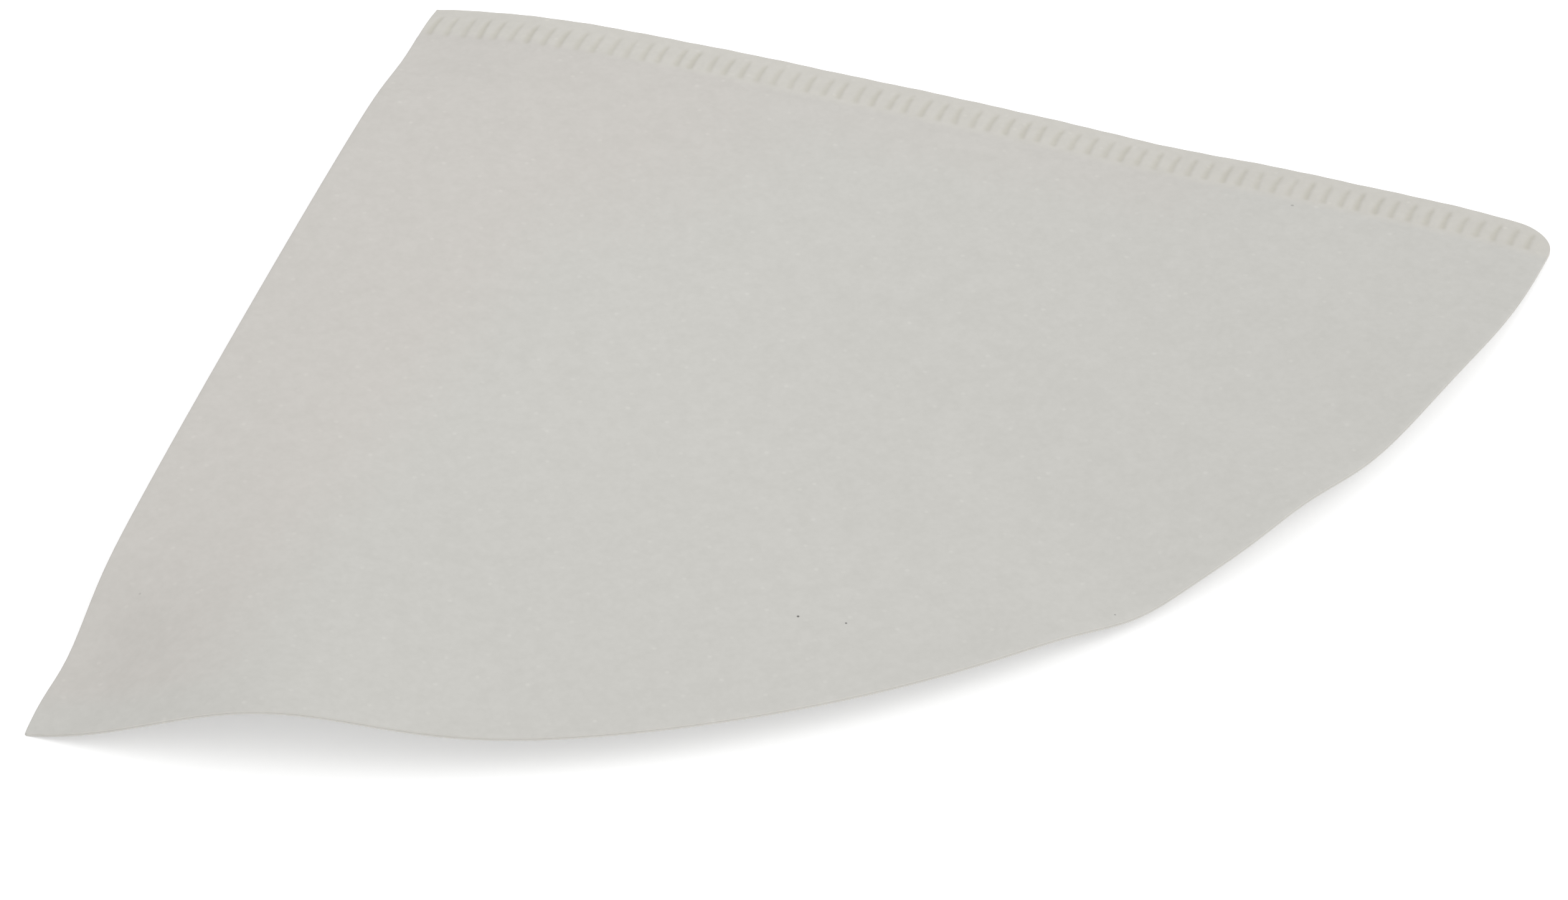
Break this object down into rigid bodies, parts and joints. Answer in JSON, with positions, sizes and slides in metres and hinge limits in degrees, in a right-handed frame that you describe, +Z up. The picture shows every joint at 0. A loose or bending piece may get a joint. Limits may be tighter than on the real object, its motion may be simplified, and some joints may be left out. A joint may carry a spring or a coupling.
{
  "type": "paper coffee filter",
  "caption": "Flat cone coffee filter: one sheet of paper folded in half, crimped along one straight side and open along its curved mouth.",
  "frame": {"origin": "centre of the bounding box's bottom face: the table that the sheet lies on", "axes": "+Z up through both plies, +Y from the middle of the mouth to the tip, +X to the side of the crimped seam"},
  "size_m": [0.175, 0.125, 0.0081],
  "materials": {
    "paper": "matt uncoated filter paper"
  },
  "bodies": {
    "root": {"filter": "paper"}
  },
  "joints": []
}
